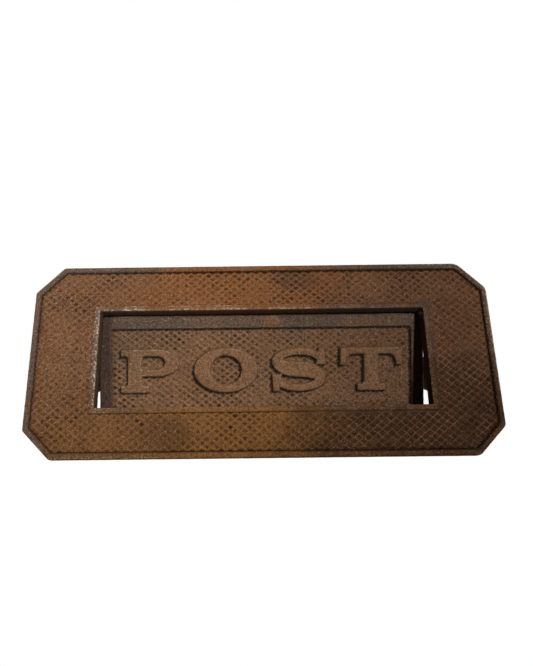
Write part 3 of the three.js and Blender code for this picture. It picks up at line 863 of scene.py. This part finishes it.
def make_nut(side, x, material):
    """A square nut with corners turned off by a cone, and a countersunk hole."""
    node = "fixing_nut_" + side
    front, back = extent(node, "Y")
    angles = full_turn(NUT_STEPS) + math.pi / 4
    reach = NUT_HALF / np.maximum(np.abs(np.cos(angles)), np.abs(np.sin(angles)))
    reach = np.minimum(reach, NUT_HALF * NUT_CORNER_SHARE)
    circle = NUT_HALF - 0.1
    drop = np.maximum(0, reach - circle) * math.tan(NUT_CONE)
    rows = [
        (NUT_HOLE, front + 0.7), (NUT_COUNTERSINK, front + 0.02), (reach - 0.45, front),
        (reach - 0.12, front + 0.12), (reach, front + 0.45), (reach, (front + back) / 2),
        (reach, back - drop - 0.15), (np.minimum(reach - 0.2, circle), back - 0.03),
        (circle - 0.5, back), (NUT_COUNTERSINK, back - 0.02), (NUT_HOLE, back - 0.7),
    ]
    points = np.concatenate([round_loop(radius, y, angles) for radius, y in rows])
    casting = single(points + np.array([x, 0, 0]), ring_faces(len(rows), NUT_STEPS, True), 0.3)
    piece = casting.build("square_nut_" + side, rough=0.05, rough_cell=2.2, seed=29)
    place(piece, "plate", node, "nut_steel", material)


def make_hardware(pin_iron, washer_iron, stud_iron, nut_iron):
    make_hinge_pin(pin_iron)
    make_split_pin(washer_iron)
    for side in ("left", "right", "end"):
        node, name = "hinge_washer_" + side, "hinge_ring_" + side
        make_washer(node, name, BORE_RADIUS, HINGE_WASHER_RADIUS, "X", HINGE_POINT, washer_iron)
    for side, x in (("left", -BOSS_X), ("right", BOSS_X)):
        node, name = "fixing_washer_" + side, "door_washer_" + side
        make_washer(node, name, *DOOR_WASHER_RADII, "Y", (x, 0, 0), washer_iron)
        make_stud(side, x, stud_iron)
        make_nut(side, x, nut_iron)


# --- materials ---

# Patches are wider than high: distances along X are squeezed.
PATCH_SQUEEZE = 0.55
BEAD_SHARE = 0.82
NO_OFFSET = (0, 0, 0)
WHITE = (1.0, 1.0, 1.0)


class Shader:
    """Short calls for building one material's nodes."""

    def __init__(self, name):
        self.material = bpy.data.materials.new(name)
        self.material.use_nodes = True
        self.tree = self.material.node_tree
        self.surface = self.tree.nodes["Principled BSDF"]
        self.place = self.node("TexCoord", {}, "Object")

    def link(self, source, target):
        self.tree.links.new(source, target)

    def node(self, kind, sockets, output, **settings):
        """One output of a new node, whose sockets get numbers, vectors, colours or other outputs."""
        node = self.tree.nodes.new("ShaderNode" + kind)
        for label, setting in settings.items():
            setattr(node, label, setting)
        for key, value in sockets.items():
            socket = node.inputs[key]
            if isinstance(value, bpy.types.NodeSocket):
                self.link(value, socket)
            elif socket.type == "RGBA":
                socket.default_value = (*value, 1.0)
            else:
                socket.default_value = value
        return node.outputs[output]

    def attribute(self, name):
        return self.node("Attribute", {}, "Fac", attribute_name=name)

    def position(self, axis):
        """The place on the object along one axis, in metres."""
        return self.node("SeparateXYZ", {0: self.place}, axis)

    def noise(self, size_mm, detail=4.0, roughness=0.55, offset=NO_OFFSET):
        """Noise with features of about one size. The offset keeps layers from lining up."""
        place = self.node("Mapping", {"Vector": self.place, "Location": offset}, "Vector")
        scale = 1 / (size_mm * MM)
        sockets = {"Vector": place, "Scale": scale, "Detail": detail, "Roughness": roughness}
        return self.node("TexNoise", sockets, "Fac")

    def cells(self, size_mm):
        sockets = {"Vector": self.place, "Scale": 1 / (size_mm * MM)}
        return self.node("TexVoronoi", sockets, "Distance")

    def ramp(self, source, low, high, start=0.0, end=1.0):
        """Goes smoothly from start, where the source is low, to end, where it is high."""
        sockets = {"Value": source, "From Min": low, "From Max": high, "To Min": start, "To Max": end}
        return self.node("MapRange", sockets, "Result", interpolation_type="SMOOTHSTEP")

    def math(self, operation, a, b):
        return self.node("Math", {0: a, 1: b}, 0, operation=operation)

    def times(self, a, b):
        return self.math("MULTIPLY", a, b)

    def mix(self, share, a, b, blend="MIX"):
        """Mixes two colours, which are the node's sockets 6 and 7, into its output 2."""
        return self.node("Mix", {0: share, 6: a, 7: b}, 2, data_type="RGBA", blend_type=blend)

    def blotch(self, x, z, radius, ragged):
        """A ragged patch round a place on the plate, in millimetres: 1 at its middle, 0 outside."""
        squeeze = {0: self.place, 1: (PATCH_SQUEEZE, 0.0, 1.0)}
        flat = self.node("VectorMath", squeeze, "Vector", operation="MULTIPLY")
        ends = {0: flat, 1: (PATCH_SQUEEZE * x * MM, 0.0, z * MM)}
        distance = self.node("VectorMath", ends, "Value", operation="DISTANCE")
        wavy = self.math("ADD", distance, self.times(ragged, -radius * MM * 1.2))
        return self.ramp(wavy, -0.1 * radius * MM, 0.5 * radius * MM, 1.0, 0.0)

    def bump(self, layers):
        """Adds (height source, strength, distance in mm) layers of fine relief to the shading."""
        below = {}
        for source, strength, distance in layers:
            sockets = {"Height": source, "Strength": strength, "Distance": distance * MM, **below}
            below = {"Normal": self.node("Bump", sockets, "Normal")}
        self.link(below["Normal"], self.surface.inputs["Normal"])


def rust_colour(mat, tones, speck_offset):
    """Mottled patina from (brown, red brown, dark, tan) tones, without regard to the relief."""
    brown, red, dark, tan = tones
    colour = mat.mix(mat.ramp(mat.noise(34, 3.0), 0.4, 0.62), brown, red)
    colour = mat.mix(mat.ramp(mat.noise(9, 5.0, 0.65), 0.52, 0.7, 0.0, 0.55), colour, dark)
    speck = mat.noise(1.5, 3.0, 0.7, speck_offset)
    colour = mat.mix(mat.ramp(speck, 0.5, 0.72, 0.0, 0.55), colour, tan)
    return mat.mix(mat.ramp(speck, 0.46, 0.3, 0.0, 0.6), colour, dark)


def lay_patches(mat, colour, patches, front):
    """Tinted patches on the front, each (x, z, radius, tint, strength)."""
    ragged = mat.noise(16, 5.0, 0.65)
    for x, z, radius, tint, strength in patches:
        patch = mat.times(mat.blotch(x, z, radius, ragged), strength)
        colour = mat.mix(mat.times(patch, front), colour, tint)
    return colour


def lay_relief_and_shade(mat, colour, crest, pit_and_shade):
    """Pale rust on the crests, broken up and weaker on the left, darkness in the pits, and painted shade
    and shadow where the relief value is lowest: in the creases and beside the flap's letters and border.
    """
    relief_and_shade = mat.attribute("relief_and_shade")
    areas = mat.ramp(mat.noise(26, 4.0, 0.6, (0.4, 0.4, 0.1)), 0.36, 0.6, 0.3, 0.85)
    broken = mat.ramp(mat.noise(2.6, 3.0, 0.6, (0.5, 0.8, 0.2)), 0.38, 0.56, 0.35, 1.0)
    crisp = mat.times(areas, broken)
    crisp = mat.times(crisp, along_x(mat, -100, 10, 0.6, 1.0))
    colour = mat.mix(mat.times(mat.ramp(relief_and_shade, 0.6, 0.98), crisp), colour, crest)
    deep = mat.times(mat.ramp(relief_and_shade, 0.55, 0.02), along_x(mat, -110, -20, 0.5, 0.85))
    colour = mat.mix(deep, colour, pit_and_shade)
    # Painted shade in the creases and painted shadow beside the flap's letters and border, where the relief
    # value is lowest.
    return mat.mix(mat.ramp(relief_and_shade, 0.16, 0.0, 0.0, 0.9), colour, pit_and_shade)


def lay_grain(mat, colour, front):
    """Fine light and dark grain, weaker behind."""
    fine = mat.ramp(mat.noise(0.9, 5.0, 0.85, (0.9, 0.3, 0.6)), 0.32, 0.68, 0.28, 1.78)
    return mat.mix(mat.ramp(front, 0, 1, 0.4, 1.0), colour, fine, "MULTIPLY")


def lay_wear(mat, colour, bright):
    """Chips of bright metal where the mesh is worn, in streaks."""
    grain = mat.noise(0.9, 2.0, 0.6, (0.3, 0.1, 0.2))
    streak = mat.noise(14, 3.0, 0.6, (0.1, 0.7, 0.4))
    chipped = mat.times(mat.ramp(grain, 0.47, 0.62), mat.ramp(streak, 0.32, 0.56, 0.2, 1.0))
    worn = mat.times(mat.attribute("wear"), chipped)
    return mat.mix(mat.ramp(worn, 0.05, 0.6), colour, bright)


def casting_material(name, tones, crest, pit_and_shade, bright, bead_tint, patches, shade, glints):
    """Rusted casting: relief with painted shade, wear, bead and back come from the mesh, patches and
    shade from the place on it. Glints, painted highlights in the colour, appear where their noise passes
    the value of glints, and hardly any behind."""
    mat = Shader(name)
    front = mat.math("SUBTRACT", 1.0, mat.attribute("back"))
    grey = mat.times(mat.attribute("bead"), BEAD_SHARE)
    colour = mat.mix(grey, rust_colour(mat, tones, NO_OFFSET), bead_tint)
    colour = lay_patches(mat, colour, patches, front)
    colour = lay_relief_and_shade(mat, colour, crest, pit_and_shade)
    colour = lay_wear(mat, lay_grain(mat, colour, front), bright)
    # Painted highlights: bright glint specks mixed into the base colour, with lower roughness.
    painted_glint = mat.ramp(mat.noise(0.6, 1.0, 0.5, (0.6, 0.2, 0.9)), glints, glints + 0.06)
    painted_glint = mat.times(painted_glint, mat.ramp(front, 0, 1, 0.15, 0.7))
    colour = mat.mix(painted_glint, colour, bright)
    colour = mat.mix(1.0, colour, shade(mat), "MULTIPLY")
    mat.link(colour, mat.surface.inputs["Base Color"])
    rough = mat.ramp(mat.noise(2.5, 4.0, 0.6, (0.2, 0.5, 0.1)), 0.3, 0.7, 0.5, 0.85)
    rough = mat.math("SUBTRACT", rough, mat.times(painted_glint, 0.2))
    mat.link(rough, mat.surface.inputs["Roughness"])
    mat.surface.inputs["Metallic"].default_value = 0.0
    mat.surface.inputs["Specular IOR Level"].default_value = 0.1
    mat.bump([
        (mat.noise(2.2, 5.0, 0.65), 0.5, 0.35),
        (mat.noise(0.7, 3.0, 0.7), 0.6, 0.16),
        (mat.cells(1.1), 0.3, 0.12),
    ])
    return mat.material


def along_x(mat, low, high, start, end):
    """A value that goes from start to end between two places along X, in millimetres."""
    return mat.ramp(mat.position("X"), low * MM, high * MM, start, end)


def axis_shade(mat, axis, low, high, dark):
    """A tint that falls from white at low to dark at high along one axis, in millimetres."""
    wavy = mat.math("ADD", mat.position(axis), mat.times(mat.noise(40, 3.0), 0.03))
    return mat.mix(mat.ramp(wavy, low * MM, high * MM), WHITE, dark)


def plate_shade(mat):
    """Darker to the right and towards the bottom."""
    across = axis_shade(mat, "X", -110, 135, (0.42, 0.38, 0.35))
    down = axis_shade(mat, "Z", 40, -62, (0.68, 0.6, 0.44))
    return mat.mix(1.0, across, down, "MULTIPLY")


def flap_shade(mat):
    """Darker in the reveal's shadow at the left end and towards the right."""
    edge = mat.mix(along_x(mat, -90, -85, 1.0, 0.0), WHITE, (0.5, 0.46, 0.46))
    return mat.mix(1.0, edge, axis_shade(mat, "X", -70, 120, (0.52, 0.48, 0.44)), "MULTIPLY")


def hardware_material(name, tones, metallic, low_rough, high_rough, bright):
    """Oxidised steel, rubbed bright in places."""
    mat = Shader(name)
    colour = rust_colour(mat, tones, (0.4, 0.2, 0.3))
    rubbed = mat.times(mat.attribute("wear"), mat.ramp(mat.noise(3, 3.0), 0.45, 0.7))
    mat.link(mat.mix(rubbed, colour, bright), mat.surface.inputs["Base Color"])
    mat.surface.inputs["Metallic"].default_value = metallic
    rough = mat.ramp(mat.noise(1.8, 4.0, 0.6), 0.3, 0.7, low_rough, high_rough)
    mat.link(rough, mat.surface.inputs["Roughness"])
    mat.bump([(mat.noise(1.6, 5.0, 0.65), 0.5, 0.2), (mat.noise(0.5, 2.0), 0.4, 0.08)])
    return mat.material


def make_castings():
    """The plate's and the flap's materials. Tones are brown, red brown, dark and tan."""
    plate = casting_material(
        "plate_patina",
        tones=((0.2, 0.098, 0.047), (0.185, 0.082, 0.04), (0.085, 0.046, 0.026), (0.29, 0.165, 0.088)),
        crest=(0.31, 0.158, 0.078),
        pit_and_shade=(0.04, 0.02, 0.011),
        bright=(0.6, 0.48, 0.35),
        bead_tint=(0.108, 0.08, 0.065),
        patches=[
            (-10, 45, 36, (0.3, 0.115, 0.032), 0.75),
            (-60, 34, 16, (0.24, 0.098, 0.034), 0.5),
            (-5, -44, 44, (0.3, 0.142, 0.038), 0.9),
            (-70, -44, 30, (0.23, 0.112, 0.045), 0.5),
            (-52, -42, 12, (0.06, 0.04, 0.028), 0.45),
            (20, 46, 8, (0.055, 0.04, 0.032), 0.5),
            # Darker towards the lower right.
            (105, -48, 62, (0.07, 0.032, 0.012), 0.9),
        ],
        shade=plate_shade,
        glints=0.67,
    )
    flap = casting_material(
        "flap_patina",
        tones=((0.165, 0.097, 0.058), (0.175, 0.088, 0.048), (0.078, 0.048, 0.031), (0.27, 0.17, 0.104)),
        crest=(0.3, 0.162, 0.08),
        pit_and_shade=(0.012, 0.008, 0.006),
        bright=(0.42, 0.33, 0.24),
        bead_tint=(0.084, 0.062, 0.05),
        patches=[
            (-75, 8, 14, (0.075, 0.062, 0.044), 0.5),
            (-20, -8, 40, (0.225, 0.112, 0.05), 0.5),
            (60, 0, 30, (0.2, 0.105, 0.05), 0.5),
            (6, 24, 5, (0.26, 0.115, 0.045), 0.5),
        ],
        shade=flap_shade,
        glints=0.645,
    )
    return plate, flap


def make_oxides():
    """The pin's, the washers', the studs' and the nuts' materials."""
    dark = ((0.12, 0.075, 0.05), (0.14, 0.07, 0.04), (0.05, 0.034, 0.026), (0.2, 0.13, 0.085))
    grey = ((0.19, 0.16, 0.135), (0.18, 0.12, 0.085), (0.08, 0.06, 0.048), (0.3, 0.26, 0.22))
    return (
        hardware_material("pin_oxide", dark, 0.35, 0.4, 0.7, (0.33, 0.3, 0.27)),
        hardware_material("washer_oxide", dark, 0.25, 0.5, 0.8, (0.3, 0.26, 0.22)),
        hardware_material("stud_tarnish", grey, 0.7, 0.3, 0.6, (0.45, 0.42, 0.39)),
        hardware_material("nut_oxide", dark, 0.4, 0.4, 0.7, (0.34, 0.3, 0.26)),
    )


# --- camera, light and floor ---

# Camera, in millimetres and degrees, fitted to the photograph. The shift is in its pixels.
CAMERA_PLACE = (-9.15, -293.8, -72.4)
CAMERA_TURN = (106.63, 0.62, 0.35)
IMAGE_LONG_SIDE = 666
FOCAL_PIXELS = 534
SENSOR = 36.0
FRAME_SHIFT = 22.5

# The world is white to the camera and nearly dark to everything else.
ROOM_GLOW = 0.025
ROOM_TINT = (1.0, 0.98, 0.95, 1)


def make_camera():
    data = bpy.data.cameras.new("camera")
    data.sensor_width = SENSOR
    data.lens = SENSOR * FOCAL_PIXELS / IMAGE_LONG_SIDE
    data.shift_x = FRAME_SHIFT / IMAGE_LONG_SIDE
    data.clip_start = 0.01
    camera = add_object("camera", data)
    camera.location = Vector(CAMERA_PLACE) * MM
    camera.rotation_euler = [math.radians(angle) for angle in CAMERA_TURN]
    SCENE.camera = camera


def area_light(name, direction, distance, size, power, colour=(1, 1, 1)):
    """A round lamp in this direction from the origin, in metres and watts, aimed back at it."""
    data = bpy.data.lights.new(name, "AREA")
    data.shape = "DISK"
    data.size = size
    data.energy = power
    data.color = colour
    light = add_object(name, data)
    towards = Vector(direction).normalized()
    light.location = towards * distance
    light.rotation_mode = "QUATERNION"
    light.rotation_quaternion = towards.to_track_quat("Z", "Y")


def make_world():
    """A room that looks white behind the object but lights it only softly."""
    world = bpy.data.worlds.new("white_room")
    world.use_nodes = True
    nodes, links = world.node_tree.nodes, world.node_tree.links
    soft = nodes["Background"]
    soft.inputs["Color"].default_value = ROOM_TINT
    soft.inputs["Strength"].default_value = ROOM_GLOW
    white = nodes.new("ShaderNodeBackground")
    white.inputs["Color"].default_value = (1, 1, 1, 1)
    seen = nodes.new("ShaderNodeLightPath")
    join = nodes.new("ShaderNodeMixShader")
    links.new(seen.outputs["Is Camera Ray"], join.inputs[0])
    links.new(soft.outputs[0], join.inputs[1])
    links.new(white.outputs[0], join.inputs[2])
    links.new(join.outputs[0], nodes["World Output"].inputs["Surface"])
    SCENE.world = world


def make_floor():
    """A round pale table top well below the plate, which gets no diffuse light from it."""
    radius, top = 450.0, -300.0
    profile = [(0.01, top), (radius * 0.5, top), (radius - 4, top), (radius - 1, top - 1),
               (radius, top - 4), (radius, top - 16), (radius - 4, top - 20), (0.01, top - 20)]
    points, faces = turned_shell(profile, 128, "Z", (0, 0, 0))
    mesh = bpy.data.meshes.new("floor")
    mesh.from_pydata((points * MM).tolist(), [], faces.tolist())
    outward(mesh)
    floor = add_object("floor", mesh)
    mat = Shader("pale_floor")
    tone = mat.mix(mat.noise(60, 3.0), (0.86, 0.85, 0.83), (0.9, 0.89, 0.88))
    mat.link(tone, mat.surface.inputs["Base Color"])
    mat.surface.inputs["Roughness"].default_value = 0.8
    mesh.materials.append(mat.material)
    floor.visible_diffuse = False


def make_studio():
    SCENE.view_settings.view_transform = "Standard"
    make_world()
    # The key is a small lamp to the camera's right, so that ridges and letters cast crisp shadows.
    area_light("key", (0.24, -0.97, -0.05), 1.15, 0.09, 12.6, (1.0, 0.97, 0.93))
    area_light("top_softbox", (-0.2, -0.25, 0.95), 1.4, 1.2, 1.0)
    area_light("back_softbox", (-0.35, 0.9, 0.4), 1.5, 1.0, 26)
    area_light("side_softbox", (1.0, 0.35, 0.2), 1.4, 0.8, 6)
    make_floor()


make_camera()
plate_patina, flap_patina = make_castings()
make_front_plate(plate_patina)
make_flap(flap_patina)
make_hardware(*make_oxides())
make_studio()
